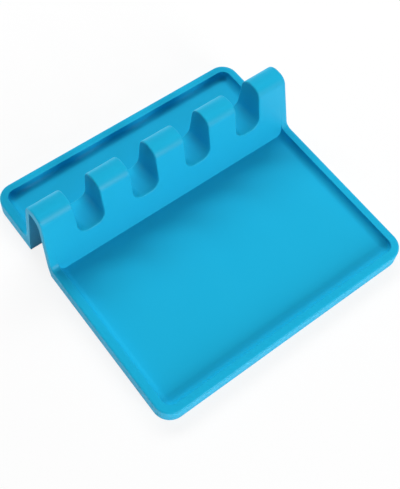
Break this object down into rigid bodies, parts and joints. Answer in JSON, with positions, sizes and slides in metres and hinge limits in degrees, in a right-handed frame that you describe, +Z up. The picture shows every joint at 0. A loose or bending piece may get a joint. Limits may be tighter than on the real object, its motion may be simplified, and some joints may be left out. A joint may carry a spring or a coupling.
{
  "type": "spoon rest",
  "caption": "Silicone utensil rest: a hollow bridge with slots for handles between a large and a small rimmed drip tray.",
  "frame": {"origin": "on the table, under the centre of the whole part's bounding box", "axes": "+X along the bridge, +Y from the large front tray to the small rear tray, +Z up from the table"},
  "size_m": [0.2, 0.196, 0.0574],
  "materials": {
    "silicone": "satin"
  },
  "bodies": {
    "root": {"front_tray_floor": "silicone", "front_tray_rim": "silicone", "rear_tray_floor": "silicone", "rear_tray_rim": "silicone", "bridge_front_wall": "silicone", "bridge_rear_wall": "silicone", "tooth_1": "silicone", "tooth_2": "silicone", "tooth_3": "silicone", "tooth_4": "silicone", "tooth_5": "silicone", "slot_trough_1": "silicone", "slot_trough_2": "silicone", "slot_trough_3": "silicone", "slot_trough_4": "silicone"}
  },
  "joints": []
}
